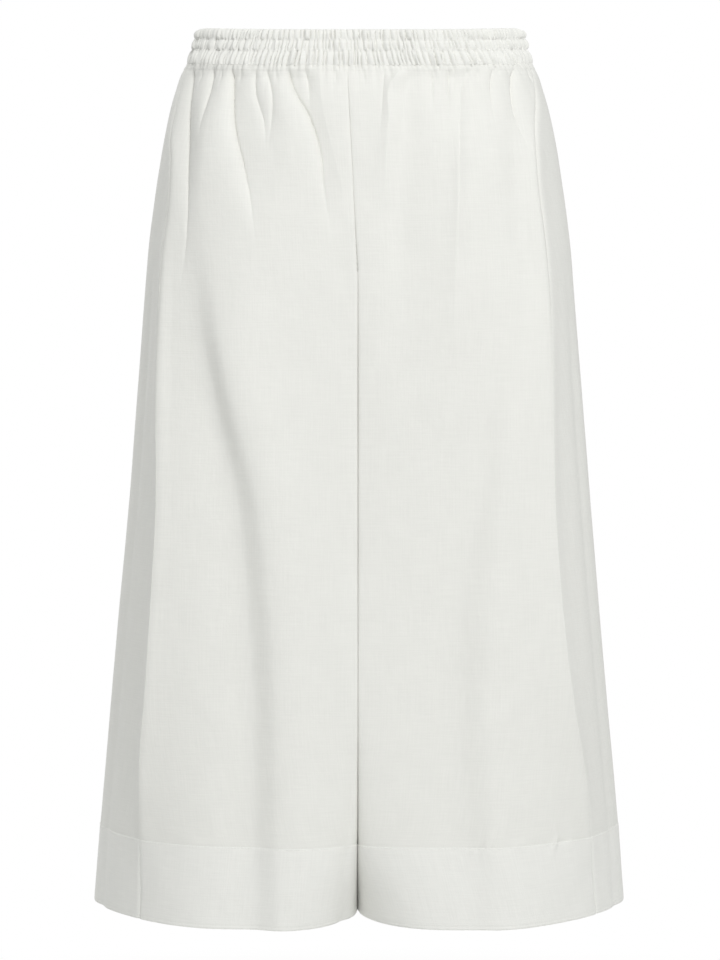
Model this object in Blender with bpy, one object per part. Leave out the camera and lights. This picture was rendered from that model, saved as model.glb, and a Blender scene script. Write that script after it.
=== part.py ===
"""Pull-on culottes in their worn shape, with nothing inside them.

The garment is an elastic waistband in three stitched channels, two fronts, two backs and a deep
hem band round each leg. At every height each half of it is one run of cloth: from the centre
front round the side to the centre back above the crotch, and from the inseam round the side back
to the inseam below it. Every piece is a wall cut from those runs.

+X is the wearer's left, -Y the front and +Z up. The origin is the middle of the waist, half way
up the waistband. Sizes are in millimetres, and a drop is a distance below the waist seam.
"""

import math
from collections import namedtuple

import bmesh
import bpy
import numpy as np

MM = 0.001
LEFT = 1
RIGHT = -1

# Lengths
BAND_HEIGHT = 31.5
SIDE_SEAM_TOP = -7.75
LEG_LENGTH = 738.5
HEM_DEPTH = 68.0
CROTCH_DROP = 262.0
CROTCH_Y = 15.0

# How far the front and back of a level line stand from its height at the side seam, and the power
# of its dip at the waist, which is 2 at the hem
FRONT_WAIST_DIP = 16.0
BACK_WAIST_RISE = 4.0
FRONT_HEM_DIP = 3.6
LEVEL_CURVE = 1.15

# Walls and gaps
PANEL_WALL = 1.4
HEM_WALL = 2.0
BAND_WALL = 2.6
SEAM_GAP = 0.3
LEG_GAP = 0.3

# Mesh density: columns along each panel's inner wall and round the rest of it, and the rows' drops
FRONT_INNER_COLUMNS = 6
FRONT_OUTER_COLUMNS = 28
BACK_INNER_COLUMNS = 5
BACK_OUTER_COLUMNS = 24
LEAST_INNER_STRIP = 15.0
CURVE_SAMPLES = 80
INNER_STEP = 4.0
HEM_TOP = LEG_LENGTH - HEM_DEPTH
PANEL_ROWS = (
    0, 8, 18, 31, 48, 70, 96, 124, 150, 174, 196, 216, 233, 247, 257, CROTCH_DROP, 320, 420, 540,
    HEM_TOP,
)
HEM_ROWS = (HEM_TOP, (HEM_TOP + LEG_LENGTH) / 2, LEG_LENGTH)

# The cloth's plan by drop: half the width, how far the front and back stand out, how far from the
# middle each stands out most, and how square the corner between front and side is (2 is round)
Section = namedtuple("Section", "drop half_width front back front_peak back_peak corner")
SECTIONS = (
    Section(-32, 143.2, 95, 96, 32, 32, 2.3),
    Section(-12, 147.2, 98, 99, 33, 33, 2.3),
    Section(0, 151.6, 101, 102, 34, 34, 2.3),
    Section(7, 156.0, 104, 106, 36, 36, 2.3),
    Section(25, 162.4, 110, 113, 38, 38, 2.3),
    Section(60, 171.2, 118, 125, 40, 42, 2.3),
    Section(113, 179.8, 125, 140, 42, 50, 2.35),
    Section(166, 186.2, 130, 147, 50, 58, 2.4),
    Section(202, 188.8, 133, 149, 58, 66, 2.45),
    Section(273, 194.0, 137, 151, 68, 74, 2.5),
    Section(379, 202.0, 141, 153, 72, 80, 2.5),
    Section(521, 214.7, 147, 155, 78, 88, 2.3),
    Section(662, 228.2, 153, 157, 88, 94, 1.75),
    Section(740, 234.4, 155, 158, 92, 96, 1.5),
)
BACK_CORNER = 2.0

# The middle seams: the front one leans to the wearer's right towards the waist. Each lies in a
# groove between two rounded shoulders, and follows the crotch curve from where it starts. The
# depths are how far the shoulders reach behind the cloth's peak.
MIDDLE_X = -1.3
WAIST_LEAN = -9.3
LEAN_DROP = 190.0
FRONT_CURVE_DROP = 120.0
BACK_CURVE_DROP = 140.0
FRONT_SHOULDER = (
    (-6, 0.0), (8, 1.2), (120, 3.0), (170, 4.2), (205, 5.5), (262, 8.0), (420, 9.0), (600, 13.0),
    (690, 42.0), (740, 104.0),
)
BACK_SHOULDER = (
    (-6, 0.0), (8, 0.8), (140, 3.0), (190, 8.0), (225, 16.0), (262, 22.0), (420, 34.0), (600, 56.0),
    (740, 100.0),
)

# How square the corners between the shoulders and the inner walls are, by drop
INNER_CORNER = ((0, 3.4), (600, 3.4), (740, 2.3))

# The side seams' places, as a share of the half width by drop: each swings to the front below the
# waist and lies in a crease, whose depth is given by drop too
SIDE_SEAMS = {
    LEFT: (
        (0, 0.985), (26, 0.94), (61, 0.865), (98, 0.828), (143, 0.824), (206, 0.825), (297, 0.805),
        (383, 0.785), (469, 0.783), (555, 0.80), (642, 0.84), (740, 0.87),
    ),
    RIGHT: (
        (0, 0.985), (34, 0.95), (62, 0.92), (90, 0.876), (124, 0.856), (176, 0.858), (237, 0.85),
        (298, 0.835), (384, 0.805), (470, 0.797), (555, 0.793), (641, 0.798), (740, 0.80),
    ),
}
SIDE_CREASE = ((0, 0.0), (50, 2.4), (200, 2.0), (300, 0.9), (740, 0.6))
SIDE_CREASE_WIDTH = 4.0

# The ridge that each crease lies on, where the cloth turns from the front to the side: its height by
# side, its widths, and the drops over which it starts and fades
SIDE_RIDGE = {LEFT: 11.0, RIGHT: 14.0}
SIDE_RIDGE_WIDTH = {"front": 24.0, "back": 13.0}
RIDGE_START = (0, 110)
RIDGE_END = (580, 738)

# Folds run down the cloth through the points of a path, each a drop and a share of the half width.
# A trough has a height below zero. The widths are the fold's half widths at its two ends. Those
# that start at the waist seam are the gathers under the band.
Fold = namedtuple("Fold", "side height width end_width path")
FRONT_FOLDS = (
    Fold(RIGHT, -2.5, 4, 5, ((0, 0.14), (26, 0.13))),
    Fold(RIGHT, -3.0, 4, 6, ((0, 0.22), (38, 0.19), (70, 0.14), (113, 0.08), (150, 0.04))),
    Fold(RIGHT, -3.5, 4, 5, ((0, 0.31), (12, 0.26), (44, 0.25))),
    Fold(RIGHT, -5.0, 5, 8, ((0, 0.39), (21, 0.35), (46, 0.25), (78, 0.19), (135, 0.13))),
    Fold(RIGHT, -2.5, 4, 5, ((0, 0.46), (24, 0.43))),
    Fold(RIGHT, -3.5, 4, 6, ((0, 0.52), (21, 0.45), (80, 0.44))),
    Fold(RIGHT, -3.5, 4, 6, ((0, 0.57), (23, 0.54), (52, 0.46), (84, 0.44))),
    Fold(RIGHT, -2.5, 3, 4, ((0, 0.64), (20, 0.64))),
    Fold(RIGHT, -5.0, 5, 9, ((0, 0.69), (38, 0.62), (77, 0.57), (130, 0.47))),
    Fold(RIGHT, -2.5, 4, 4, ((0, 0.75), (22, 0.73))),
    Fold(RIGHT, -3.5, 4, 6, ((0, 0.81), (24, 0.78), (70, 0.76))),
    Fold(RIGHT, -3.0, 4, 4, ((0, 0.86), (24, 0.85))),
    Fold(RIGHT, -5.0, 5, 10, ((0, 0.92), (86, 0.81), (120, 0.785), (200, 0.80))),
    Fold(RIGHT, -9.5, 18, 24, (
        (130, 0.80), (193, 0.75), (236, 0.71), (296, 0.65), (381, 0.55), (465, 0.49), (548, 0.44),
        (632, 0.41), (740, 0.39),
    )),
    Fold(RIGHT, 7.5, 15, 20, (
        (140, 0.71), (193, 0.66), (236, 0.62), (296, 0.56), (381, 0.46), (465, 0.40), (548, 0.35),
        (632, 0.325), (740, 0.30),
    )),
    Fold(LEFT, -2.0, 4, 5, ((0, 0.02), (24, 0.03))),
    Fold(LEFT, -3.0, 4, 6, ((0, 0.11), (22, 0.14), (46, 0.11), (75, 0.09))),
    Fold(LEFT, 2.5, 4, 6, ((0, 0.24), (12, 0.17), (32, 0.14), (85, 0.12))),
    Fold(LEFT, -3.5, 5, 16, ((0, 0.30), (38, 0.24), (57, 0.20), (122, 0.20), (192, 0.24), (320, 0.18))),
    Fold(LEFT, -3.0, 4, 5, ((0, 0.38), (38, 0.34))),
    Fold(LEFT, -3.0, 4, 5, ((0, 0.48), (42, 0.43))),
    Fold(LEFT, -2.5, 4, 5, ((0, 0.53), (24, 0.50))),
    Fold(LEFT, -5.0, 5, 13, ((0, 0.60), (20, 0.54), (38, 0.50), (60, 0.48), (122, 0.43), (210, 0.41))),
    Fold(LEFT, -2.5, 4, 4, ((0, 0.66), (22, 0.62))),
    Fold(LEFT, -3.5, 4, 5, ((0, 0.74), (28, 0.66), (50, 0.65))),
    Fold(LEFT, -4.0, 4, 7, ((0, 0.83), (40, 0.77), (56, 0.76), (92, 0.80))),
    Fold(LEFT, -2.0, 10, 16, ((70, 0.74), (250, 0.69))),
    Fold(LEFT, -3.0, 4, 4, ((0, 0.90), (26, 0.87))),
    Fold(LEFT, -4.0, 16, 24, ((250, 0.62), (381, 0.55), (520, 0.50), (740, 0.52))),
)
BACK_FOLDS = (
    Fold(RIGHT, -2.5, 4, 5, ((0, 0.09), (26, 0.08))),
    Fold(RIGHT, -4.0, 4, 8, ((0, 0.18), (40, 0.15), (96, 0.11))),
    Fold(RIGHT, -3.0, 4, 5, ((0, 0.26), (38, 0.24))),
    Fold(RIGHT, -5.0, 5, 10, ((0, 0.34), (30, 0.31), (84, 0.26), (150, 0.24))),
    Fold(RIGHT, -2.5, 4, 5, ((0, 0.42), (28, 0.41))),
    Fold(RIGHT, -3.5, 4, 6, ((0, 0.50), (40, 0.46), (66, 0.45))),
    Fold(RIGHT, -5.0, 5, 9, ((0, 0.59), (36, 0.56), (80, 0.50), (128, 0.48))),
    Fold(RIGHT, -2.5, 4, 5, ((0, 0.67), (26, 0.66))),
    Fold(RIGHT, -4.0, 4, 7, ((0, 0.75), (34, 0.71), (90, 0.68))),
    Fold(RIGHT, -3.0, 4, 5, ((0, 0.83), (40, 0.80))),
    Fold(RIGHT, -4.0, 4, 7, ((0, 0.90), (50, 0.88), (100, 0.87))),
    Fold(RIGHT, -5.0, 18, 26, ((170, 0.48), (300, 0.52), (480, 0.50), (740, 0.44))),
    Fold(LEFT, -2.5, 4, 5, ((0, 0.05), (30, 0.06))),
    Fold(LEFT, -3.5, 4, 6, ((0, 0.14), (42, 0.13), (70, 0.11))),
    Fold(LEFT, -2.5, 4, 5, ((0, 0.22), (26, 0.22))),
    Fold(LEFT, -5.0, 5, 9, ((0, 0.31), (34, 0.27), (76, 0.25), (132, 0.20))),
    Fold(LEFT, -3.0, 4, 5, ((0, 0.39), (44, 0.36))),
    Fold(LEFT, -4.0, 4, 8, ((0, 0.47), (36, 0.44), (104, 0.38))),
    Fold(LEFT, -2.5, 4, 5, ((0, 0.55), (24, 0.54))),
    Fold(LEFT, -5.0, 5, 10, ((0, 0.63), (42, 0.58), (88, 0.55), (156, 0.54))),
    Fold(LEFT, -2.5, 4, 5, ((0, 0.71), (30, 0.69))),
    Fold(LEFT, -4.0, 4, 7, ((0, 0.79), (38, 0.75), (82, 0.73))),
    Fold(LEFT, -3.5, 4, 6, ((0, 0.87), (34, 0.85), (64, 0.84))),
    Fold(LEFT, -4.0, 18, 26, ((190, 0.38), (330, 0.44), (500, 0.46), (740, 0.52))),
)
FOLD_CURVE = 1.5
EDGE_FADE = 12.0

# The waistband: gathers round the whole ring, pinched at its edges and at two rows of stitching
BAND_GATHERS = 132
GATHER_HEIGHT = 0.9
GATHER_UNEVENNESS = 0.35
GATHER_SEED = 5
BandRow = namedtuple("BandRow", "down bulge gather")
BAND_ROWS = (
    BandRow(0.0, -0.4, 0.6),
    BandRow(4.6, 0.6, 1.0),
    BandRow(9.5, -0.5, 0.4),
    BandRow(14.2, 0.6, 1.0),
    BandRow(19.0, -0.5, 0.4),
    BandRow(25.0, 0.7, 1.0),
    BandRow(31.35, -0.3, 0.6),
)
BAND_INSIDE_ROWS = (0.0, 14.2, 31.35)

PANEL_COLOUR = (0.80, 0.80, 0.76)
HEM_COLOUR = (0.83, 0.83, 0.79)
CLOTH_ROUGHNESS = 0.9


def along(table, drop):
    """The value at this drop on a smooth line through a table of drops and values."""
    drops, values = np.array(table, float).T
    slopes = np.gradient(values, drops)
    i = int(np.clip(np.searchsorted(drops, drop) - 1, 0, len(drops) - 2))
    step = drops[i + 1] - drops[i]
    t = float(np.clip((drop - drops[i]) / step, 0, 1))
    ends = (1 + 2 * t) * (1 - t) ** 2 * values[i] + t * t * (3 - 2 * t) * values[i + 1]
    return ends + step * t * (1 - t) * ((1 - t) * slopes[i] - t * slopes[i + 1])


def section_at(drop):
    columns = list(zip(*SECTIONS))
    return Section(drop, *(along(tuple(zip(columns[0], column)), drop) for column in columns[1:]))


def middle_x(drop):
    """Where the centre front and centre back seams run."""
    lean = max(0.0, 1 - max(drop, 0.0) / LEAN_DROP)
    return MIDDLE_X + WAIST_LEAN * lean


def seam_depth(shoulder, curve_drop, full, drop):
    """How far behind the cloth's peak the middle seam lies: in its groove, then on the crotch curve."""
    start = along(shoulder, curve_drop)
    share = float(np.clip((drop - curve_drop) / (CROTCH_DROP - curve_drop), 0, 1))
    curve = start + (full - start) * (1 - math.sqrt(1 - share * share))
    return curve if drop > curve_drop else along(shoulder, drop)


def corner_points(squareness):
    """Two shares that go from 0 to 1 and from 1 to 0 round a quarter of a superellipse."""
    angle = np.linspace(0, math.pi / 2, CURVE_SAMPLES)
    return np.sin(angle) ** (2 / max(squareness, 2)), np.cos(angle) ** (2 / squareness)


def inner_side(side, drop, peak_x, peak_y, shoulder, seam_y):
    """The plan from the middle seam along the inner wall and round the shoulder to the peak."""
    middle = side * middle_x(drop)
    seam_x = middle + np.interp(drop, (CROTCH_DROP, CROTCH_DROP + 60), (SEAM_GAP / 2, LEG_GAP / 2))
    wall_x = middle + np.interp(drop, (FRONT_CURVE_DROP, CROTCH_DROP), (SEAM_GAP / 2, LEG_GAP / 2))
    rise, fall = corner_points(along(INNER_CORNER, drop))
    round_x = peak_x - (peak_x - wall_x) * fall
    round_y = peak_y - np.copysign(shoulder * (1 - rise), peak_y)
    turn = np.column_stack([round_x, round_y])
    wall_length = abs(seam_y - turn[0, 1])
    if wall_length < SEAM_GAP:
        return turn, 0.0
    steps = max(2, int(wall_length / INNER_STEP))
    wall = np.linspace((seam_x, seam_y), turn[0], steps, endpoint=False)
    return np.concatenate([wall, turn]), wall_length


def plain_run(side, drop):
    """The plan of one half at this drop, from the front's middle edge round to the back's, and how
    long its front and back inner walls are. The wearer's right half comes out mirrored to +X.
    """
    size = section_at(drop)
    front_depth = seam_depth(FRONT_SHOULDER, FRONT_CURVE_DROP, size.front + CROTCH_Y, drop)
    back_depth = seam_depth(BACK_SHOULDER, BACK_CURVE_DROP, size.back - CROTCH_Y, drop)
    front_inner, front_wall = inner_side(
        side, drop, size.front_peak, -size.front,
        min(along(FRONT_SHOULDER, drop), front_depth), front_depth - size.front,
    )
    back_inner, back_wall = inner_side(
        side, drop, size.back_peak, size.back,
        min(along(BACK_SHOULDER, drop), back_depth), size.back - back_depth,
    )
    rise, fall = corner_points(size.corner)
    front_outer = np.column_stack([
        size.front_peak + (size.half_width - size.front_peak) * rise,
        -size.front * fall,
    ])
    rise, fall = corner_points(BACK_CORNER)
    back_outer = np.column_stack([
        size.back_peak + (size.half_width - size.back_peak) * fall,
        size.back * rise,
    ])
    run = np.concatenate([front_inner, front_outer[1:], back_outer[1:], back_inner[-2::-1]])
    return run, front_wall, back_wall


def distances(run):
    """How far along the run each of its points lies."""
    steps = np.hypot(*np.diff(run, axis=0).T)
    return np.concatenate([[0], np.cumsum(steps)])


def points_at(run, places):
    """The points at these distances along the run."""
    return np.column_stack([np.interp(places, distances(run), run[:, i]) for i in range(2)])


def normals_of(run):
    """Unit normals of a run of plan points, pointing out of the garment."""
    ahead = np.gradient(run, axis=0)
    normals = np.column_stack([ahead[:, 1], -ahead[:, 0]])
    return normals / np.linalg.norm(normals, axis=1, keepdims=True)


def height_of(y, drop):
    """The heights along a level line, which dips at the front and rises at the back."""
    size = section_at(drop)
    share = float(np.clip(drop / LEG_LENGTH, 0, 1))
    front = np.clip(-y / size.front, 0, 1) ** (LEVEL_CURVE + (2 - LEVEL_CURVE) * share)
    back = np.clip(y / size.back, 0, 1) ** 2
    front_dip = FRONT_WAIST_DIP * (1 - share) ** 2 + FRONT_HEM_DIP * share**2
    back_rise = BACK_WAIST_RISE * (1 - share) ** 2
    return SIDE_SEAM_TOP - drop - front_dip * front + back_rise * back


def smooth_step(value):
    value = np.clip(value, 0, 1)
    return value * value * (3 - 2 * value)


def fold_push(folds, side, drop, across, place, wall):
    """How far the folds move each point of a panel's line out of its plain surface. The inner wall,
    whose length is given, has none.
    """
    push = np.zeros(len(place))
    for fold in folds:
        drops, shares = np.array(fold.path, float).T
        down = (drop - drops[0]) / (drops[-1] - drops[0])
        if fold.side != side or not 0 <= down <= 1:
            continue
        centre = np.interp(np.interp(drop, drops, shares), across, place)
        width = fold.width + (fold.end_width - fold.width) * down
        strength = 1.0 if drops[-1] >= LEG_LENGTH else smooth_step((1 - down) / 0.7)
        if drops[0] > 0:
            strength *= smooth_step(down / 0.35)
        push += fold.height * strength * np.exp(-(np.abs(place - centre) / width) ** FOLD_CURVE)
    from_edge = np.minimum(place - wall, place[-1] - place)
    return push * smooth_step(from_edge / EDGE_FADE)


def side_ridge(side, drop):
    """The height of the ridge beside a side seam."""
    start = smooth_step((drop - RIDGE_START[0]) / (RIDGE_START[1] - RIDGE_START[0]))
    end = smooth_step((drop - RIDGE_END[0]) / (RIDGE_END[1] - RIDGE_END[0]))
    return SIDE_RIDGE[side] * start * (1 - end)


def column_places(run, side, drop, front_wall, back_wall):
    """The distances along the run of the front's columns, and of the back's, middle to side seam."""
    place = distances(run)
    widest = int(np.argmax(run[:, 0]))
    seam_x = run[widest, 0] * along(SIDE_SEAMS[side], drop)
    seam = np.interp(seam_x, run[: widest + 1, 0], place[: widest + 1])
    front_strip = max(front_wall, LEAST_INNER_STRIP)
    back_strip = place[-1] - max(back_wall, LEAST_INNER_STRIP)
    front = np.concatenate([
        np.linspace(0, front_strip, FRONT_INNER_COLUMNS, endpoint=False),
        np.linspace(front_strip, seam, FRONT_OUTER_COLUMNS + 1),
    ])
    back = np.concatenate([
        np.linspace(place[-1], back_strip, BACK_INNER_COLUMNS, endpoint=False),
        np.linspace(back_strip, seam, BACK_OUTER_COLUMNS + 1),
    ])
    return front, back


def panel_lines(side, face, drop, wall):
    """One level line of a front or back: its outer and inner points, from the middle to the side."""
    run, front_wall, back_wall = plain_run(side, drop)
    half_width = run[:, 0].max()
    front, back = column_places(run, side, drop, front_wall, back_wall)
    round_places = np.concatenate([front, back[-2::-1]])
    round_points = points_at(run, round_places)
    round_normals = normals_of(round_points)
    if face == "front":
        kept = np.arange(len(front))
        folds = FRONT_FOLDS
        inner_wall = front_wall
    else:
        kept = np.arange(len(round_places) - 1, len(front) - 2, -1)
        folds = BACK_FOLDS
        inner_wall = back_wall
    points = round_points[kept]
    place = np.abs(round_places[kept] - round_places[kept[0]])
    across = np.maximum.accumulate(points[:, 0] / half_width)
    push = fold_push(folds, side, drop, across, place, inner_wall)
    from_side = place[-1] - place
    push -= along(SIDE_CREASE, drop) * np.exp(-from_side / SIDE_CREASE_WIDTH)
    push += side_ridge(side, drop) * np.exp(-from_side / SIDE_RIDGE_WIDTH[face])
    heights = height_of(points[:, 1], drop)
    points = trimmed(points, drop)
    lines = []
    for depth in (0.0, wall):
        moved = points + (push - depth)[:, None] * round_normals[kept]
        lines.append(np.column_stack([side * moved[:, 0], moved[:, 1], heights]))
    return lines


def trimmed(points, drop):
    """A panel's line shortened for the gap at its side seam and, on a leg, at its inseam."""
    points = points.copy()
    ends = [(-1, -2)]
    if drop >= CROTCH_DROP:
        ends.append((0, 1))
    for end, beside in ends:
        step = points[beside] - points[end]
        points[end] += step * (SEAM_GAP / 2) / np.linalg.norm(step)
    return points


def gather_sides():
    """The places round the ring, from 0 to 1, of each gather's two edges, and how far each stands."""
    random = np.random.default_rng(GATHER_SEED)
    count = 2 * BAND_GATHERS
    widths = random.uniform(1 - GATHER_UNEVENNESS, 1 + GATHER_UNEVENNESS, count)
    heights = random.uniform(1 - GATHER_UNEVENNESS, 1 + GATHER_UNEVENNESS, count)
    places = np.cumsum(widths) / widths.sum()
    return places, heights * np.where(np.arange(count) % 2, 1, -1)


def band_ring(down):
    """The band's plain plan at this height, all the way round, as a closed run."""
    halves = {side: plain_run(side, down - BAND_HEIGHT)[0] for side in (LEFT, RIGHT)}
    mirrored = halves[RIGHT][::-1] * (-1, 1)
    return np.concatenate([halves[LEFT], mirrored[1:]])


def band_line(down, push):
    """One line round the band, pushed out of its plain plan at each gather's edge."""
    ring = band_ring(down)
    shares, _ = gather_sides()
    points = points_at(ring, shares * distances(ring)[-1])
    normals = normals_of(np.concatenate([points[-1:], points, points[:1]]))[1:-1]
    heights = height_of(points[:, 1], down - BAND_HEIGHT)
    return np.column_stack([points + np.reshape(push, (-1, 1)) * normals, heights])


def joined(upper, lower, closed=False):
    """Triangles between two lines of point numbers, all split along the same diagonal."""
    count = len(upper)
    faces = []
    for i in range(count if closed else count - 1):
        j = (i + 1) % count
        faces.append((upper[i], lower[i], lower[j]))
        faces.append((upper[i], lower[j], upper[j]))
    return faces


def add_wall(name, outer, inner, material, closed=False):
    """A wall of cloth between outer and inner lines, which run down it and share their columns."""
    points = np.concatenate([*outer, *inner])
    columns = len(outer[0])
    numbers = [list(range(i, i + columns)) for i in range(0, len(points), columns)]
    outside = numbers[: len(outer)]
    inside = numbers[len(outer):]
    faces = []
    for face in (outside, inside, (outside[0], inside[0]), (outside[-1], inside[-1])):
        for upper, lower in zip(face, face[1:]):
            faces += joined(upper, lower, closed)
    if not closed:
        for end in (0, -1):
            faces += joined([line[end] for line in outside], [line[end] for line in inside])
    mesh = bpy.data.meshes.new(name)
    mesh.from_pydata(points * MM, [], faces)
    shape = bmesh.new()
    shape.from_mesh(mesh)
    bmesh.ops.recalc_face_normals(shape, faces=shape.faces)
    shape.to_mesh(mesh)
    shape.free()
    mesh.shade_smooth()
    mesh.set_sharp_from_angle(angle=math.radians(60))
    mesh.materials.append(material)
    piece = bpy.data.objects.new(name, mesh)
    collection.objects.link(piece)
    return piece


def add_panel(name, side, face, drops, wall, material):
    """A front, back or hem band between its first and last drops, less half a seam's gap at each."""
    bottom = drops[-1] if drops[-1] == LEG_LENGTH else drops[-1] - SEAM_GAP / 2
    drops = [drops[0] + SEAM_GAP / 2, *drops[1:-1], bottom]
    outer, inner = zip(*(panel_lines(side, face, drop, wall) for drop in drops))
    return add_wall(name, outer, inner, material)


def add_waistband(material):
    """An elastic band in three channels, gathered all the way round."""
    _, gathers = gather_sides()
    outer = [
        band_line(row.down, row.bulge + GATHER_HEIGHT * row.gather * gathers) for row in BAND_ROWS
    ]
    inner = [band_line(down, -BAND_WALL) for down in BAND_INSIDE_ROWS]
    return add_wall("waistband", outer, inner, material, closed=True)


def cloth(name, colour, roughness):
    material = bpy.data.materials.new(name)
    material.use_nodes = True
    shader = material.node_tree.nodes["Principled BSDF"]
    shader.inputs["Base Color"].default_value = (*colour, 1.0)
    shader.inputs["Roughness"].default_value = roughness
    shader.inputs["Sheen Weight"].default_value = 0.2
    return material


for leftover in list(bpy.data.objects):
    bpy.data.objects.remove(leftover, do_unlink=True)

collection = bpy.data.collections.new("culottes")
bpy.context.scene.collection.children.link(collection)

panel_cloth = cloth("panel_cloth", PANEL_COLOUR, CLOTH_ROUGHNESS)
hem_cloth = cloth("hem_cloth", HEM_COLOUR, CLOTH_ROUGHNESS)
band_cloth = cloth("band_cloth", HEM_COLOUR, CLOTH_ROUGHNESS)

add_waistband(band_cloth)
for side, side_name in ((LEFT, "left"), (RIGHT, "right")):
    for face in ("front", "back"):
        add_panel(f"{face}_{side_name}", side, face, PANEL_ROWS, PANEL_WALL, panel_cloth)
        add_panel(f"hem_{face}_{side_name}", side, face, HEM_ROWS, HEM_WALL, hem_cloth)
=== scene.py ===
"""The looks of the culottes: the cloth, its folds, gathers and stitches, and a plain pale studio.

Each piece of cloth is a thin closed wall on the form of its solid. Sizes are in millimetres and a
drop is a distance below the waist seam, as in the part's source, whose plan this script repeats.
+X is the wearer's left, -Y the front and +Z up.
"""

import math
from collections import namedtuple
from functools import lru_cache

import bpy
import numpy as np
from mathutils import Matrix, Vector


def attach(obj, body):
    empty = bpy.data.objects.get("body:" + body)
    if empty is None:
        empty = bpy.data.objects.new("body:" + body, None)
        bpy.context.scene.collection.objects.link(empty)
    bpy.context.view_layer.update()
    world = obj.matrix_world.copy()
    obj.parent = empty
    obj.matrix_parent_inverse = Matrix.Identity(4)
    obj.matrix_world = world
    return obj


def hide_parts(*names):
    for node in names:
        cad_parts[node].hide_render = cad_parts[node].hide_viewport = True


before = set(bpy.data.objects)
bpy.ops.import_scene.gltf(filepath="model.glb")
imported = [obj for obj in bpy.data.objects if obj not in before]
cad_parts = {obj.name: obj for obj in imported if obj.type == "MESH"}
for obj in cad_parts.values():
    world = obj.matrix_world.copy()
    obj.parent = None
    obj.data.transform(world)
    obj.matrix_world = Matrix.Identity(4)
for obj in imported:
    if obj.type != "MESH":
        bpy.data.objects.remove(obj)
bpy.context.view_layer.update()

MM = 0.001
LEFT = 1
RIGHT = -1
SIDES = ((LEFT, "left"), (RIGHT, "right"))

# ---- sizes, as in the part's source
# Only LEG_GAP and FRONT_SHOULDER are smaller here, so that the cloth of the two legs lies closer.

BAND_HEIGHT = 31.5
SIDE_SEAM_TOP = -7.75
LEG_LENGTH = 738.5
HEM_DEPTH = 68.0
HEM_TOP = LEG_LENGTH - HEM_DEPTH
CROTCH_DROP = 262.0
CROTCH_Y = 15.0
FRONT_WAIST_DIP = 16.0
BACK_WAIST_RISE = 4.0
FRONT_HEM_DIP = 3.6
LEVEL_CURVE = 1.15
LEG_GAP = 0.12
LEGS_PART_OVER = 60.0
CLOSED_GAP = 0.1

Section = namedtuple("Section", "drop half_width front back front_peak back_peak corner")
SECTIONS = (
    Section(-32, 143.2, 95, 96, 32, 32, 2.3),
    Section(-12, 147.2, 98, 99, 33, 33, 2.3),
    Section(0, 151.6, 101, 102, 34, 34, 2.3),
    Section(7, 156.0, 104, 106, 36, 36, 2.3),
    Section(25, 162.4, 110, 113, 38, 38, 2.3),
    Section(60, 171.2, 118, 125, 40, 42, 2.3),
    Section(113, 179.8, 125, 140, 42, 50, 2.35),
    Section(166, 186.2, 130, 147, 50, 58, 2.4),
    Section(202, 188.8, 133, 149, 58, 66, 2.45),
    Section(273, 194.0, 137, 151, 68, 74, 2.5),
    Section(379, 202.0, 141, 153, 72, 80, 2.5),
    Section(521, 214.7, 147, 155, 78, 88, 2.3),
    Section(662, 228.2, 153, 157, 88, 94, 1.75),
    Section(740, 234.4, 155, 158, 92, 96, 1.5),
)
BACK_CORNER = 2.0

MIDDLE_X = -1.3
WAIST_LEAN = -9.3
LEAN_DROP = 190.0
FRONT_CURVE_DROP = 120.0
BACK_CURVE_DROP = 140.0
FRONT_SHOULDER = (
    (-6, 0.0), (8, 0.5), (120, 1.2), (170, 2.0), (205, 3.2), (262, 6.0), (420, 5.5), (600, 10.0),
    (690, 42.0), (740, 104.0),
)
BACK_SHOULDER = (
    (-6, 0.0), (8, 0.8), (140, 3.0), (190, 8.0), (225, 16.0), (262, 22.0), (420, 34.0), (600, 56.0),
    (740, 100.0),
)
INNER_CORNER = ((0, 3.4), (600, 3.4), (740, 2.3))

SIDE_SEAMS = {
    LEFT: (
        (0, 0.985), (26, 0.94), (61, 0.865), (98, 0.828), (143, 0.824), (206, 0.825), (297, 0.805),
        (383, 0.785), (469, 0.783), (555, 0.80), (642, 0.84), (740, 0.87),
    ),
    RIGHT: (
        (0, 0.985), (34, 0.95), (62, 0.92), (90, 0.876), (124, 0.856), (176, 0.858), (237, 0.85),
        (298, 0.835), (384, 0.805), (470, 0.797), (555, 0.793), (641, 0.798), (740, 0.80),
    ),
}

# ---- sizes of the finer form

CLOTH_WALL = 0.7
HEM_WALL = 1.5
BAND_WALL = 2.6

# Mesh density
CURVE_SAMPLES = 400
INNER_STEP = 0.8
INNER_COLUMNS = 18
OUTER_COLUMNS = {"front": 186, "back": 150}
CROWDING = 3.2
CROWD_WIDTH = 3.0
CROWD_SAMPLES = 900
EDGE_COLUMNS = (0.0, 0.7, 1.5, 2.6, 4.2)
SHARP_ANGLE = math.radians(70)
LEAST_INNER_STRIP = 15.0
RowSpan = namedtuple("RowSpan", "end step")
PANEL_SPANS = (
    RowSpan(12, 0.8), RowSpan(60, 1.8), RowSpan(160, 3.0),
    RowSpan(300, 5.0), RowSpan(664, 10.0), RowSpan(HEM_TOP, 1.3),
)
HEM_SPANS = (RowSpan(HEM_TOP + 8, 1.0), RowSpan(LEG_LENGTH - 6, 3.4), RowSpan(LEG_LENGTH, 0.8))
BAND_COLUMNS = 1960
BAND_ROWS_PER_CHANNEL = 8
ROUNDING = 1e-6

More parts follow.
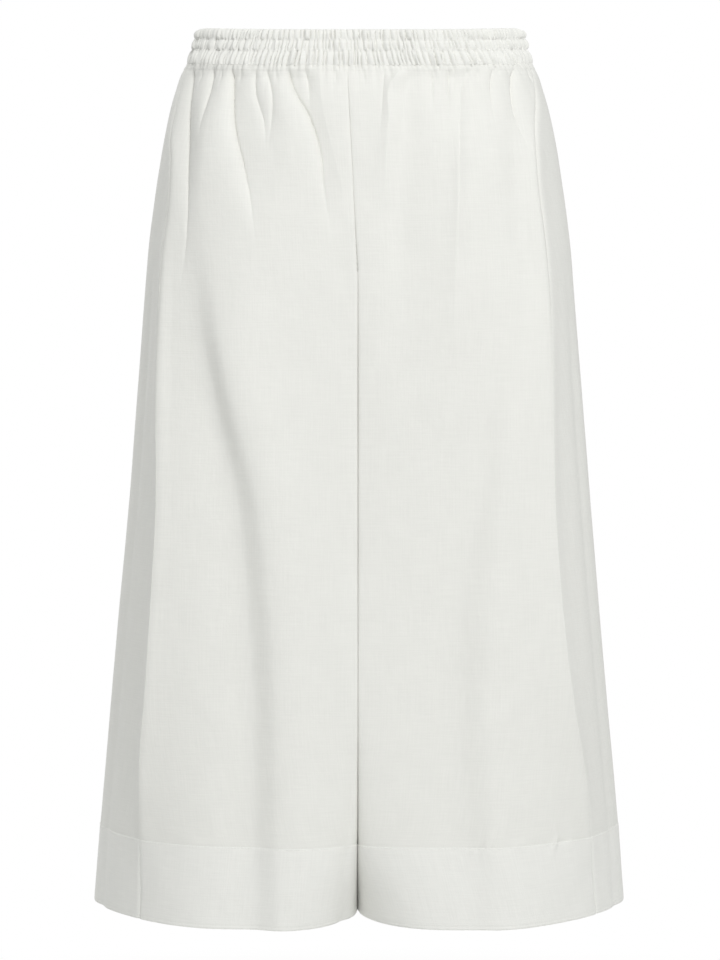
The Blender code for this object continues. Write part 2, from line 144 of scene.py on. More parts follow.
# Seams: the ditch along each, how deep the middle one is on the whole and how much that changes,
# the crease and ridge at each side seam, and the seam allowance that shows below the waistband
SEAM_DITCH = 0.35
SEAM_DITCH_WIDTH = 2.6
SEAM_DEPTH_SHARES = (0.7, 0.7)
SEAM_CELL = 24.0
SIDE_CREASE = ((0, 0.0), (40, 3.0), (90, 4.0), (200, 3.0), (300, 1.6), (740, 1.4))
SIDE_CREASE_WIDTH = 3.0
SIDE_RIDGE = {LEFT: 11.0, RIGHT: 14.0}
SIDE_RIDGE_WIDTH = {"front": 24.0, "back": 13.0}
RIDGE_START = (0, 110)
RIDGE_END = (580, 738)
WAIST_DITCH = 0.15
WAIST_DITCH_WIDTH = 0.8
ALLOWANCE_RISE = 0.55
ALLOWANCE_END = 5.6
ALLOWANCE_EDGE = 1.6

# A fold runs down the cloth through the points of its path, each a drop and a share of the half
# width. A trough has a height below zero. Its half widths towards the middle and towards the side
# differ, and grow by the spread on the way down. Creases are sharp and have a line at their centre,
# edges are nearly sharp and swells are soft. A fold comes in over the first share of its path, or
# under the waistband if it starts there, and goes out over the last share unless it ends at the hem.
Fold = namedtuple("Fold", "side height inner outer spread path")
Profile = namedtuple("Profile", "curve line")
CREASE = Profile(1.05, 0.26)
EDGE = Profile(1.2, 0.0)
SWELL = Profile(1.8, 0.0)
CREASE_LINE_WIDTH = 1.0
FRONT_CREASES = (
    Fold(RIGHT, -2.0, 4, 3, 1.2, ((0, 0.13), (22, 0.12))),
    Fold(RIGHT, -3.7, 6, 4, 1.2, ((0, 0.31), (12, 0.28), (44, 0.25))),
    Fold(RIGHT, -6.8, 16, 4, 1.5, (
        (0, 0.40), (21, 0.35), (44, 0.26), (60, 0.22), (78, 0.19), (107, 0.17), (160, 0.12),
    )),
    Fold(RIGHT, -2.0, 4, 3, 1.2, ((0, 0.465), (20, 0.44))),
    Fold(RIGHT, -3.4, 9, 4, 1.4, ((0, 0.53), (21, 0.47), (84, 0.44))),
    Fold(RIGHT, -3.4, 7, 4, 1.4, ((0, 0.58), (23, 0.555), (52, 0.48), (88, 0.45))),
    Fold(RIGHT, -2.0, 4, 3, 1.2, ((0, 0.66), (20, 0.655))),
    Fold(RIGHT, -7.5, 18, 4, 1.6, (
        (0, 0.725), (30, 0.67), (60, 0.62), (90, 0.56), (117, 0.515), (175, 0.455),
    )),
    Fold(RIGHT, -2.0, 4, 3, 1.2, ((0, 0.77), (22, 0.75))),
    Fold(RIGHT, -4.4, 9, 4, 1.3, ((0, 0.83), (24, 0.80), (74, 0.765))),
    Fold(RIGHT, -2.4, 4, 3, 1.2, ((0, 0.88), (24, 0.87))),
    Fold(RIGHT, -5.6, 9, 5, 2.2, (
        (0, 0.95), (40, 0.89), (86, 0.815), (120, 0.785), (160, 0.775), (225, 0.81),
    )),
    Fold(LEFT, -1.8, 4, 4, 1.2, ((0, 0.02), (24, 0.03))),
    Fold(LEFT, -2.0, 5, 6, 1.4, ((0, 0.14), (20, 0.125), (46, 0.11), (75, 0.095))),
    Fold(LEFT, -3.2, 5, 6, 1.2, ((0, 0.40), (20, 0.385), (50, 0.37))),
    Fold(LEFT, -3.2, 6, 5, 1.2, ((0, 0.50), (14, 0.48), (60, 0.44))),
    Fold(LEFT, -1.8, 4, 4, 1.2, ((0, 0.53), (24, 0.50))),
    Fold(LEFT, -1.8, 4, 4, 1.2, ((0, 0.66), (22, 0.62))),
    Fold(LEFT, -2.6, 7, 5, 1.2, ((0, 0.76), (12, 0.72), (30, 0.69), (60, 0.67))),
    Fold(LEFT, -4.4, 10, 4, 1.4, ((0, 0.88), (12, 0.845), (30, 0.81), (62, 0.80), (95, 0.85))),
    Fold(LEFT, -2.4, 4, 4, 1.2, ((0, 0.945), (26, 0.94))),
)
FRONT_SWELLS = (
    Fold(RIGHT, 8.0, 34, 18, 1.2, ((4, 0.80), (60, 0.74), (130, 0.72), (210, 0.68))),
    Fold(RIGHT, 3.6, 16, 16, 1.3, ((4, 0.47), (60, 0.36), (120, 0.30))),
    Fold(RIGHT, -9.0, 16, 34, 1.3, (
        (130, 0.80), (193, 0.73), (236, 0.70), (296, 0.63), (381, 0.51), (465, 0.45), (548, 0.41),
        (632, 0.39), (740, 0.37),
    )),
    Fold(RIGHT, 8.0, 36, 14, 1.3, (
        (140, 0.71), (193, 0.65), (236, 0.61), (296, 0.54), (381, 0.42), (465, 0.36), (548, 0.32),
        (632, 0.305), (740, 0.285),
    )),
    Fold(LEFT, -4.5, 7, 12, 2.8, (
        (0, 0.31), (20, 0.255), (60, 0.225), (120, 0.20), (192, 0.20), (350, 0.165),
    )),
    Fold(LEFT, -5.0, 12, 14, 1.4, ((30, 0.76), (130, 0.735), (180, 0.73), (270, 0.70))),
    Fold(LEFT, -4.5, 26, 16, 1.4, (
        (200, 0.60), (297, 0.56), (385, 0.49), (470, 0.40), (560, 0.38), (740, 0.42),
    )),
    Fold(LEFT, 3.6, 14, 20, 1.4, (
        (230, 0.68), (297, 0.65), (385, 0.58), (470, 0.51), (560, 0.48), (740, 0.50),
    )),
    Fold(RIGHT, -2.6, 5, 10, 1.5, ((560, 0.01), (640, 0.030), (680, 0.050), (740, 0.062))),
)
FRONT_EDGES = (
    Fold(RIGHT, 2.6, 20, 13, 1.1, (
        (0, 0.215), (38, 0.19), (71, 0.14), (113, 0.08), (144, 0.045), (190, 0.01),
    )),
    Fold(LEFT, 3.8, 6, 9, 1.5, ((0, 0.25), (14, 0.175), (50, 0.145), (90, 0.125), (150, 0.12))),
    Fold(LEFT, -4.4, 14, 5, 1.7, (
        (0, 0.62), (12, 0.57), (49, 0.508), (103, 0.47), (150, 0.45), (230, 0.43),
    )),
    Fold(LEFT, 6.0, 7, 50, 1.3, (
        (15, 0.58), (38, 0.52), (60, 0.49), (122, 0.455), (192, 0.425), (280, 0.41),
    )),
)
BACK_CREASES = (
    Fold(RIGHT, -2.5, 4, 4, 1.2, ((0, 0.09), (26, 0.08))),
    Fold(RIGHT, -4.5, 7, 4, 1.8, ((0, 0.18), (40, 0.15), (96, 0.11))),
    Fold(RIGHT, -3.0, 4, 4, 1.2, ((0, 0.26), (38, 0.24))),
    Fold(RIGHT, -5.5, 8, 4, 2.0, ((0, 0.34), (30, 0.31), (84, 0.26), (150, 0.24))),
    Fold(RIGHT, -2.5, 4, 4, 1.2, ((0, 0.42), (28, 0.41))),
    Fold(RIGHT, -3.5, 5, 4, 1.4, ((0, 0.50), (40, 0.46), (66, 0.45))),
    Fold(RIGHT, -5.5, 8, 4, 1.8, ((0, 0.59), (36, 0.56), (80, 0.50), (128, 0.48))),
    Fold(RIGHT, -2.5, 4, 4, 1.2, ((0, 0.67), (26, 0.66))),
    Fold(RIGHT, -4.2, 5, 4, 1.6, ((0, 0.75), (34, 0.71), (90, 0.68))),
    Fold(RIGHT, -3.0, 4, 4, 1.2, ((0, 0.83), (40, 0.80))),
    Fold(RIGHT, -4.2, 5, 4, 1.6, ((0, 0.90), (50, 0.88), (100, 0.87))),
    Fold(RIGHT, -4.0, 5, 4, 1.5, ((0, 0.95), (40, 0.945), (95, 0.94))),
    Fold(RIGHT, -3.0, 4, 4, 1.3, ((0, 0.985), (30, 0.99), (70, 0.985))),
    Fold(LEFT, -2.5, 4, 4, 1.2, ((0, 0.05), (30, 0.06))),
    Fold(LEFT, -3.8, 5, 4, 1.4, ((0, 0.14), (42, 0.13), (70, 0.11))),
    Fold(LEFT, -2.5, 4, 4, 1.2, ((0, 0.22), (26, 0.22))),
    Fold(LEFT, -5.5, 4, 8, 1.8, ((0, 0.31), (34, 0.27), (76, 0.25), (132, 0.20))),
    Fold(LEFT, -3.0, 4, 4, 1.2, ((0, 0.39), (44, 0.36))),
    Fold(LEFT, -4.2, 4, 6, 1.8, ((0, 0.47), (36, 0.44), (104, 0.38))),
    Fold(LEFT, -2.5, 4, 4, 1.2, ((0, 0.55), (24, 0.54))),
    Fold(LEFT, -5.5, 4, 8, 2.0, ((0, 0.63), (42, 0.58), (88, 0.55), (156, 0.54))),
    Fold(LEFT, -2.5, 4, 4, 1.2, ((0, 0.71), (30, 0.69))),
    Fold(LEFT, -4.2, 4, 5, 1.6, ((0, 0.79), (38, 0.75), (82, 0.73))),
    Fold(LEFT, -3.5, 4, 5, 1.4, ((0, 0.87), (34, 0.85), (64, 0.84))),
    Fold(LEFT, -4.2, 5, 5, 1.5, ((0, 0.935), (44, 0.93), (105, 0.935))),
    Fold(LEFT, -3.0, 4, 4, 1.3, ((0, 0.98), (36, 0.985), (80, 0.985))),
)
BACK_SWELLS = (
    Fold(RIGHT, -4.5, 14, 14, 1.3, ((60, 0.96), (120, 0.965), (300, 0.975), (520, 0.97), (740, 0.975))),
    Fold(RIGHT, -4.0, 13, 13, 1.3, ((150, 0.90), (330, 0.915), (560, 0.905), (740, 0.91))),
    Fold(RIGHT, -2.2, 10, 10, 1.2, ((120, 1.045), (300, 1.05), (520, 1.045), (740, 1.04))),
    Fold(LEFT, -4.2, 14, 13, 1.3, ((50, 0.965), (120, 0.96), (320, 0.97), (540, 0.975), (740, 0.97))),
    Fold(LEFT, -4.0, 13, 13, 1.3, ((170, 0.89), (360, 0.90), (600, 0.91), (740, 0.90))),
    Fold(LEFT, -2.2, 9, 10, 1.2, ((140, 1.05), (330, 1.055), (560, 1.05), (740, 1.045))),
    Fold(RIGHT, 3.0, 20, 16, 1.3, ((6, 0.45), (60, 0.40), (140, 0.36))),
    Fold(RIGHT, -5.0, 20, 20, 1.3, ((170, 0.48), (300, 0.52), (480, 0.50), (740, 0.44))),
    Fold(RIGHT, 4.0, 44, 18, 1.2, ((230, 0.34), (420, 0.36), (740, 0.28))),
    Fold(LEFT, 3.0, 18, 20, 1.3, ((6, 0.70), (60, 0.66), (150, 0.64))),
    Fold(LEFT, -4.5, 20, 20, 1.3, ((190, 0.38), (330, 0.44), (500, 0.46), (740, 0.52))),
    Fold(LEFT, 3.5, 20, 46, 1.2, ((260, 0.60), (480, 0.64), (740, 0.70))),
)
FOLDS = {
    "front": ((FRONT_CREASES, CREASE), (FRONT_EDGES, EDGE), (FRONT_SWELLS, SWELL)),
    "back": ((BACK_CREASES, CREASE), (BACK_SWELLS, SWELL)),
}
FOLD_START_SHARE = 0.3
FOLD_END_SHARE = 0.7
EDGE_FADE = 12.0
# How much of a fold there is at the waist seam itself, and over how far it comes in below
WAIST_SHARE = 0.06
WAIST_FADE = 13.0

# Soft waves and fine crumples all over the cloth: the size of their cells, and their height
WAVE_ACROSS = 62.0
WAVE_DOWN = 170.0
WAVE_HEIGHT = 1.1
WAVE_FADE = 90.0
CRUMPLE_ACROSS = 19.0
CRUMPLE_DOWN = 34.0
CRUMPLE_HEIGHT = 0.16

# The waistband: three channels of elastic between rows of stitching, each with its own gathers. A
# gather is a wrinkled puff of cloth between two creases. It leans and sways on the way down, and is
# pinched to a share of its height at the stitching.
Channel = namedtuple("Channel", "top bottom puff seed")
CHANNELS = (
    Channel(0.0, 9.5, 1.0, 21),
    Channel(9.5, 19.0, 1.0, 22),
    Channel(19.0, BAND_HEIGHT, 1.1, 23),
)
GATHER_COUNT = 186
GATHER_UNEVENNESS = 0.5
GATHER_HEIGHT = 3.1
GATHER_HEIGHT_SHARES = (0.7, 1.3)
GATHER_CURVE = 0.5
WRINKLE_COUNT = 500
WRINKLE_HEIGHT = 0.3
GATHER_LEAN = 0.22
GATHER_SWAY = 0.2
SWAY_COUNT = 30
SWAY_DOWN = 18.0
PINCH = 0.62
BOW_CURVE = 0.85
STITCH_SINK = 0.1
BAND_SWELL = 0.1
BAND_INSIDE_SHARE = 0.35
BAND_EDGE_ROUND = 0.5
BAND_EDGE_DEPTH = 1.2
BAND_CORNER_DROP = 1.8
BAND_CORNER_WIDTH = 9.0

# The small puckers that run from the lowest channel's creases into the panels, some of them far.
# The band's own shape goes out over the foot's fade below the seam.
PUCKER_HEIGHT = 1.15
PUCKER_HEIGHT_SHARES = (0.5, 1.3)
PUCKER_WIDTH = 1.5
PUCKER_SPREAD_DROP = 16.0
PUCKER_CURVE = 1.2
PUCKER_TAPER = 0.8
SHORT_PUCKER = 5.5
SHORT_PUCKER_SHARES = (0.6, 1.6)
LONG_PUCKER = 34.0
LONG_PUCKER_SHARES = (0.3, 1.0)
HOW_MANY_LONG = 0.35
FOOT_FADE = 3.6

# The hem: a folded edge below and a row of stitching above, with puckers along it that are strong
# on some stretches and weak on others
HEM_RISE = 0.35
HEM_RISE_DROP = 2.0
HEM_DITCH = 0.18
HEM_DITCH_WIDTH = 1.0
HEM_PUCKER_PITCH = 10.0
HEM_PUCKER_HEIGHT = 1.6
HEM_PUCKER_REACH = 6.5
HEM_PUCKER_STRETCH = 45.0
HEM_PUCKER_OFFSET = 0.75
HEM_PUCKER_RANGE = 1.3
HEM_EDGE_ROUND = 0.6
HEM_EDGE_LINE = 2.8
HEM_EDGE_DITCH = 0.25
HEM_EDGE_DITCH_WIDTH = 0.7

# Stitches: each is a thread of six sides through four rings, and its ends dip into the cloth
STITCH_LENGTH = 2.1
STITCH_PITCH = 2.8
STITCH_RADIUS = 0.3
STITCH_LIFT = 0.16
STITCH_SIDES = 6
STITCH_RINGS = (0.0, 0.22, 0.78, 1.0)
STITCH_TAPER = (0.25, 1.0, 1.0, 0.25)
STITCH_HEIGHTS = (-2.0, 1.0, 1.0, -2.0)
STITCH_CAPS = [(0, 5, 4, 3), (0, 3, 2, 1), (18, 19, 20, 21), (18, 21, 22, 23)]
HEM_STITCH_DROP = 1.4

# Seeds of the random draws. A step is added to the seed of a panel or a channel.
PANEL_SEEDS = {"front": 100, "back": 200}
SIDE_SEED_STEP = 20
CRUMPLE_SEED_STEP = 7
HEM_SEED_STEP = 3
WRINKLE_SEED_STEP = 30
SWAY_SEED = 31
PUCKER_SEED = 41
SEAM_SEED = 51
NOISE_CELLS = 64


# ---- the plain plan, as in the source

def along(table, drop):
    """The value at this drop on a smooth line through a table of drops and values."""
    drops, values = np.array(table, float).T
    slopes = np.gradient(values, drops)
    i = int(np.clip(np.searchsorted(drops, drop) - 1, 0, len(drops) - 2))
    step = drops[i + 1] - drops[i]
    t = float(np.clip((drop - drops[i]) / step, 0, 1))
    ends = (1 + 2 * t) * (1 - t) ** 2 * values[i] + t * t * (3 - 2 * t) * values[i + 1]
    return ends + step * t * (1 - t) * ((1 - t) * slopes[i] - t * slopes[i + 1])


@lru_cache(maxsize=None)
def section_at(drop):
    """The section at this drop, on smooth lines through the table of sections."""
    columns = list(zip(*SECTIONS))
    return Section(drop, *(along(tuple(zip(columns[0], column)), drop) for column in columns[1:]))


def middle_x(drop):
    """Where the centre front and centre back seams run."""
    lean = max(0.0, 1 - max(drop, 0.0) / LEAN_DROP)
    return MIDDLE_X + WAIST_LEAN * lean


def seam_depth(shoulder, curve_drop, full, drop):
    """How far behind the cloth's peak the middle seam lies: in its groove, then on the crotch curve."""
    start = along(shoulder, curve_drop)
    share = float(np.clip((drop - curve_drop) / (CROTCH_DROP - curve_drop), 0, 1))
    curve = start + (full - start) * (1 - math.sqrt(1 - share * share))
    return curve if drop > curve_drop else along(shoulder, drop)


def corner_points(squareness):
    """Two shares that go from 0 to 1 and from 1 to 0 round a quarter of a superellipse."""
    angle = np.linspace(0, math.pi / 2, CURVE_SAMPLES)
    return np.sin(angle) ** (2 / max(squareness, 2)), np.cos(angle) ** (2 / squareness)


def inner_side(side, drop, peak_x, peak_y, shoulder, seam_y):
    """The plan from the middle seam along the inner wall and round the shoulder to the peak."""
    middle = side * middle_x(drop)
    seam_x = middle + np.interp(drop, (CROTCH_DROP, CROTCH_DROP + LEGS_PART_OVER), (0, LEG_GAP / 2))
    wall_x = middle + np.interp(drop, (FRONT_CURVE_DROP, CROTCH_DROP), (0, LEG_GAP / 2))
    rise, fall = corner_points(along(INNER_CORNER, drop))
    round_x = peak_x - (peak_x - wall_x) * fall
    round_y = peak_y - np.copysign(shoulder * (1 - rise), peak_y)
    turn = np.column_stack([round_x, round_y])
    wall_length = abs(seam_y - turn[0, 1])
    if wall_length < CLOSED_GAP:
        return turn, 0.0
    steps = max(2, int(wall_length / INNER_STEP))
    wall = np.linspace((seam_x, seam_y), turn[0], steps, endpoint=False)
    return np.concatenate([wall, turn]), wall_length


def plain_run(side, drop):
    """The plan of one half at this drop, from the front's middle edge round to the back's, and how
    long its front and back inner walls are. The wearer's right half comes out mirrored to +X.
    """
    size = section_at(drop)
    front_depth = seam_depth(FRONT_SHOULDER, FRONT_CURVE_DROP, size.front + CROTCH_Y, drop)
    back_depth = seam_depth(BACK_SHOULDER, BACK_CURVE_DROP, size.back - CROTCH_Y, drop)
    front_inner, front_wall = inner_side(
        side, drop, size.front_peak, -size.front,
        min(along(FRONT_SHOULDER, drop), front_depth), front_depth - size.front,
    )
    back_inner, back_wall = inner_side(
        side, drop, size.back_peak, size.back,
        min(along(BACK_SHOULDER, drop), back_depth), size.back - back_depth,
    )
    rise, fall = corner_points(size.corner)
    front_outer = np.column_stack([
        size.front_peak + (size.half_width - size.front_peak) * rise,
        -size.front * fall,
    ])
    rise, fall = corner_points(BACK_CORNER)
    back_outer = np.column_stack([
        size.back_peak + (size.half_width - size.back_peak) * fall,
        size.back * rise,
    ])
    run = np.concatenate([front_inner, front_outer[1:], back_outer[1:], back_inner[-2::-1]])
    return run, front_wall, back_wall


def distances(points):
    """How far along a line of points each of them lies."""
    steps = np.linalg.norm(np.diff(points, axis=0), axis=1)
    return np.concatenate([[0], np.cumsum(steps)])


def unit(vectors):
    return vectors / np.linalg.norm(vectors, axis=-1, keepdims=True)


def read_at(where, place, values):
    """Points or vectors that stand at these places along a line, read where they are wanted."""
    return np.stack([np.interp(where, place, column) for column in values.T], axis=-1)


def normals_of(run):
    """Unit normals of a run of plan points, pointing out of the garment."""
    ahead = np.gradient(run, axis=0)
    return unit(np.column_stack([ahead[:, 1], -ahead[:, 0]]))


def height_of(y, drop):
    """The heights along a level line, which dips at the front and rises at the back."""
    size = section_at(drop)
    share = float(np.clip(drop / LEG_LENGTH, 0, 1))
    front = np.clip(-y / size.front, 0, 1) ** (LEVEL_CURVE + (2 - LEVEL_CURVE) * share)
    back = np.clip(y / size.back, 0, 1) ** 2
    front_dip = FRONT_WAIST_DIP * (1 - share) ** 2 + FRONT_HEM_DIP * share**2
    back_rise = BACK_WAIST_RISE * (1 - share) ** 2
    return SIDE_SEAM_TOP - drop - front_dip * front + back_rise * back


# ---- one half's plan, ready for use

Half = namedtuple("Half", "run normals place front_wall back_wall half_width seam length")


@lru_cache(maxsize=None)
def half_at(side, drop):
    """One half's run at this drop with its normals, its distances and the place of its side seam."""
    run, front_wall, back_wall = plain_run(side, drop)
    place = distances(run)
    widest = int(np.argmax(run[:, 0]))
    seam_x = run[widest, 0] * along(SIDE_SEAMS[side], drop)
    seam = float(np.interp(seam_x, run[: widest + 1, 0], place[: widest + 1]))
    return Half(run, normals_of(run), place, front_wall, back_wall, run[widest, 0], seam, place[-1])


def sampled(half, places, edge=0.0):
    """Points and outward normals at these distances along a half's run. Within the edge's width of
    an end, the normal is the one at that width, so that a shallow groove's floor faces out.
    """
    inside = np.clip(places, edge, half.length - edge)
    normals = unit(read_at(inside, half.place, half.normals))
    return read_at(places, half.place, half.run), normals


def wall_of(half, face):
    """How long the inner wall on this face of a half is."""
    return half.front_wall if face == "front" else half.back_wall


def from_front(half, face, place):
    """Distances from the front's middle edge, for places measured from this face's own."""
    return place if face == "front" else half.length - place


def smooth_step(value):
    """A smooth rise from 0 to 1 as the value goes from 0 to 1."""
    value = np.clip(value, 0, 1)
    return value * value * (3 - 2 * value)


def spans(start, table):
    """Row drops from a start down to each span's end, at no more than its step."""
    drops = [np.array([start], float)]
    for span in table:
        count = math.ceil((span.end - drops[-1][-1]) / span.step - ROUNDING)
        drops.append(np.linspace(drops[-1][-1], span.end, count + 1)[1:])
    return np.concatenate(drops)


def noise(seed, across, down):
    """Smooth seeded noise from -1 to 1, with a cell for each whole number across and down."""
    n = NOISE_CELLS
    grid = np.random.default_rng(seed).uniform(-1, 1, (n, n))
    column = np.floor(across).astype(int)
    row = np.floor(down).astype(int)
    right = smooth_step(across - column)
    below = smooth_step(down - row)
    corner = [[grid[(row + i) % n, (column + j) % n] for j in range(2)] for i in range(2)]
    upper = corner[0][0] * (1 - right) + corner[0][1] * right
    lower = corner[1][0] * (1 - right) + corner[1][1] * right
    return upper * (1 - below) + lower * below


def line_noise(seed, across, level):
    """Smooth seeded noise along a level line."""
    return noise(seed, across, 0 * across + level)


# ---- gathers of the waistband

Gathers = namedtuple("Gathers", "edges heights")


@lru_cache(maxsize=None)
def gathers_of(seed):
    """The creases of one channel, as shares of the ring from the centre front towards the wearer's
    left, and the height of the puff of cloth that follows each.
    """
    random = np.random.default_rng(seed)
    widths = random.uniform(1 - GATHER_UNEVENNESS, 1 + GATHER_UNEVENNESS, GATHER_COUNT)
    edges = np.cumsum(widths) / widths.sum()
    edges = edges - edges[0] * random.uniform()
    heights = np.sqrt(np.roll(widths, -1)) * random.uniform(*GATHER_HEIGHT_SHARES, GATHER_COUNT)
    return Gathers(edges, heights)


def puffs(channel, share, lean):
    """The height of a channel's puffs at these shares of the ring, moved along by the lean."""
    edges, heights = gathers_of(channel.seed)
    closed = np.concatenate([edges, [edges[0] + 1]])
    place = (share - lean - edges[0]) % 1 + edges[0]
    index = np.clip(np.searchsorted(closed, place, side="right") - 1, 0, GATHER_COUNT - 1)
    inside = np.clip((place - closed[index]) / (closed[index + 1] - closed[index]), 0, 1)
    crest = (4 * inside * (1 - inside)) ** GATHER_CURVE
    wrinkle = line_noise(channel.seed + WRINKLE_SEED_STEP, share * WRINKLE_COUNT, 0.3)
    return heights[index] * (crest + WRINKLE_HEIGHT * wrinkle * crest)


def band_relief(share, down, ring_length):
    """How far the band's outside stands from its plain plan, for rows of shares and depths."""
    relief = np.zeros(share.shape)
    sway = noise(SWAY_SEED, share * SWAY_COUNT, down / SWAY_DOWN)
    tilt = GATHER_LEAN * np.sin(2 * math.pi * share) + GATHER_SWAY * sway
    for channel in CHANNELS:
        height = channel.bottom - channel.top
        inside = (down >= channel.top) & (down <= channel.bottom)
        level = np.clip((down - channel.top) / height, 0, 1)
        bow = np.sin(math.pi * level) ** BOW_CURVE
        lean = tilt * (down - channel.top - height / 2) / ring_length
        gather = GATHER_HEIGHT * channel.puff * puffs(channel, share, lean)
        gather = gather * (PINCH + (1 - PINCH) * bow)
        relief = np.where(inside, gather - STITCH_SINK * (1 - bow) + BAND_SWELL * bow, relief)
    relief -= BAND_EDGE_ROUND * np.clip(1 - down / BAND_EDGE_DEPTH, 0, 1) ** 2
    relief -= WAIST_DITCH * np.exp(-((BAND_HEIGHT - down) / WAIST_DITCH_WIDTH) ** 2)
    return relief - GATHER_HEIGHT / 2


def ring_share(side, face, half, other_length, place):
    """The share of the ring, from the centre front towards the wearer's left, at these places of a
    panel's line, which are measured from its middle seam.
    """
    share = from_front(half, face, place) / (half.length + other_length)
    return share if side == LEFT else 1 - share


@lru_cache(maxsize=None)
def puckers():
    """For each crease of the lowest channel, how far it reaches into the panel and how deep it is."""
    random = np.random.default_rng(PUCKER_SEED)
    is_long = random.uniform(size=GATHER_COUNT) < HOW_MANY_LONG
    reach = SHORT_PUCKER * random.uniform(*SHORT_PUCKER_SHARES, GATHER_COUNT)
    reach += is_long * LONG_PUCKER * random.uniform(*LONG_PUCKER_SHARES, GATHER_COUNT)
    depth = PUCKER_HEIGHT * random.uniform(*PUCKER_HEIGHT_SHARES, GATHER_COUNT)
    return reach, depth


def pucker_push(share, drop, ring_length):
    """How far the small puckers under the band move a line of cloth."""
    reach, depth = puckers()
    lowest = CHANNELS[-1]
    lean = GATHER_LEAN * np.sin(2 * math.pi * share) * (lowest.bottom - lowest.top) / 2
    edges = gathers_of(lowest.seed).edges
    apart = (share[:, None] - lean[:, None] / ring_length - edges + 0.5) % 1 - 0.5
    level = np.clip(1 - drop / reach, 0, 1) ** PUCKER_TAPER * smooth_step(drop / FOOT_FADE)
    width = PUCKER_WIDTH * (1 + drop / PUCKER_SPREAD_DROP)
    shape = np.exp(-np.abs(apart * ring_length / width) ** PUCKER_CURVE)
    push = -(depth * level * shape).sum(axis=1)
    foot = puffs(lowest, share, lean / ring_length) * lowest.puff * PINCH
    return push + GATHER_HEIGHT * (foot - 0.5) * math.exp(-drop / FOOT_FADE)


# ---- the panels' surface

def folds_at(folds, side, drop, across, place):
    """Each fold that reaches this drop: itself, where its centre lies, how strong it is here and how
    far down its path this is.
    """
    found = []
    for fold in folds:
        drops = [point[0] for point in fold.path]
        down = (drop - drops[0]) / (drops[-1] - drops[0])
        if fold.side != side or not 0 <= down <= 1:
            continue
        strength = 1.0 if drops[-1] >= LEG_LENGTH else smooth_step((1 - down) / FOLD_END_SHARE)
        if drops[0] > 0:
            strength *= smooth_step(down / FOLD_START_SHARE)
        else:
            strength *= WAIST_SHARE + (1 - WAIST_SHARE) * smooth_step(drop / WAIST_FADE)
        centre = float(np.interp(along(fold.path, drop), across, place))
        found.append((fold, centre, strength, down))
    return found


def fold_push(folds, profile, side, drop, across, place):
    """How far these folds move each point of a panel's line out of its plain surface."""
    push = np.zeros(len(place))
    for fold, centre, strength, down in folds_at(folds, side, drop, across, place):
        offset = place - centre
        width = np.where(offset > 0, fold.outer, fold.inner) * (1 + (fold.spread - 1) * down)
        push += fold.height * strength * np.exp(-np.abs(offset / width) ** profile.curve)
        push += profile.line * fold.height * strength * np.exp(-np.abs(offset) / CREASE_LINE_WIDTH)
    return push


def side_ridge(side, drop):
    """The height of the ridge beside a side seam."""
    start = smooth_step((drop - RIDGE_START[0]) / (RIDGE_START[1] - RIDGE_START[0]))
    end = smooth_step((drop - RIDGE_END[0]) / (RIDGE_END[1] - RIDGE_END[0]))
    return SIDE_RIDGE[side] * start * (1 - end)


def seam_push(side, half, face, drop, place):
    """The ditch of the middle and side seams, the crease at the side and the ditch under the band."""
    from_side = place[-1] - place
    push = side_ridge(side, drop) * np.exp(-from_side / SIDE_RIDGE_WIDTH[face])
    push -= along(SIDE_CREASE, drop) * np.exp(-from_side / SIDE_CREASE_WIDTH)
    push -= SEAM_DITCH * np.exp(-(from_side / SEAM_DITCH_WIDTH) ** 2)
    if wall_of(half, face) < SEAM_DITCH_WIDTH:
        mean, change = SEAM_DEPTH_SHARES
        depth = SEAM_DITCH * (mean + change * float(noise(SEAM_SEED, 0.5, drop / SEAM_CELL)))
        push -= depth * np.exp(-(place / SEAM_DITCH_WIDTH) ** 2)
    push -= WAIST_DITCH * math.exp(-(drop / WAIST_DITCH_WIDTH) ** 2)
    allowance = smooth_step((ALLOWANCE_END - drop) / ALLOWANCE_EDGE)
    return push + ALLOWANCE_RISE * allowance * smooth_step(drop / FOOT_FADE)


def hem_push(seed, drop, grain, from_side):
    """The ditch and puckers of the hem's stitching, and the doubled cloth's rise below it."""
    below = drop - HEM_TOP
    stretch = line_noise(seed, grain / HEM_PUCKER_STRETCH, 0.0)
    strength = smooth_step((stretch + HEM_PUCKER_OFFSET) / HEM_PUCKER_RANGE)
    strength *= smooth_step(from_side / EDGE_FADE)
    wave = line_noise(seed + 1, grain / HEM_PUCKER_PITCH * 2, 0.5)
    push = HEM_PUCKER_HEIGHT * strength * wave * math.exp(-abs(below) / HEM_PUCKER_REACH)
    push -= HEM_DITCH * math.exp(-(below / HEM_DITCH_WIDTH) ** 2)
    push += HEM_RISE * smooth_step(below / HEM_RISE_DROP)
    edge_line = (drop - LEG_LENGTH + HEM_EDGE_LINE) / HEM_EDGE_DITCH_WIDTH
    return push - HEM_EDGE_DITCH * math.exp(-edge_line**2)


def shares_across(points, half_width):
    """How far across each point of a panel's line lies, in half widths. Past the widest place, which
    only a back reaches, the shares go on above 1.
    """
    share = points[:, 0] / half_width
    widest = int(np.argmax(share))
    share[widest + 1:] = 2 - share[widest + 1:]
    return np.maximum.accumulate(share)


